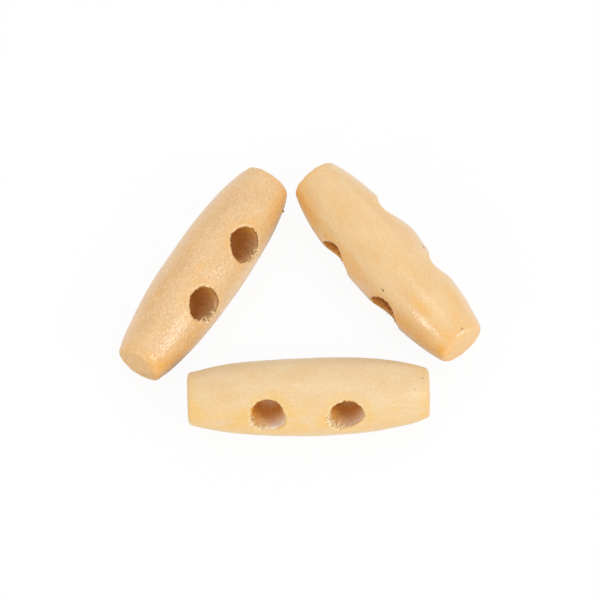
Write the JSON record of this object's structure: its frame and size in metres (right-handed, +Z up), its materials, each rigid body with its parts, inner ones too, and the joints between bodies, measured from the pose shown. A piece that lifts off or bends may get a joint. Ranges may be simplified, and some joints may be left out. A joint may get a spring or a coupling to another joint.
{
  "type": "wooden toggle button set",
  "caption": "Set of loose barrel-shaped wooden toggle buttons with flat ends and round cross holes for a cord, lying in a triangle on a flat surface.",
  "frame": {"origin": "on the ground the toggles lie on, below the middle of the set's bounding box", "axes": "+X to the right, along the front toggle to within 2 degrees; +Y away from the viewer; +Z up"},
  "size_m": [0.045, 0.0368, 0.0097],
  "materials": {
    "left_wood": "pale turned wood under a thin satin varnish",
    "right_wood": "pale turned wood under a thin satin varnish",
    "front_wood": "pale turned wood under a thin satin varnish"
  },
  "bodies": {
    "root": {"left_toggle": "left_wood", "right_toggle": "right_wood", "front_toggle": "front_wood"}
  },
  "joints": []
}
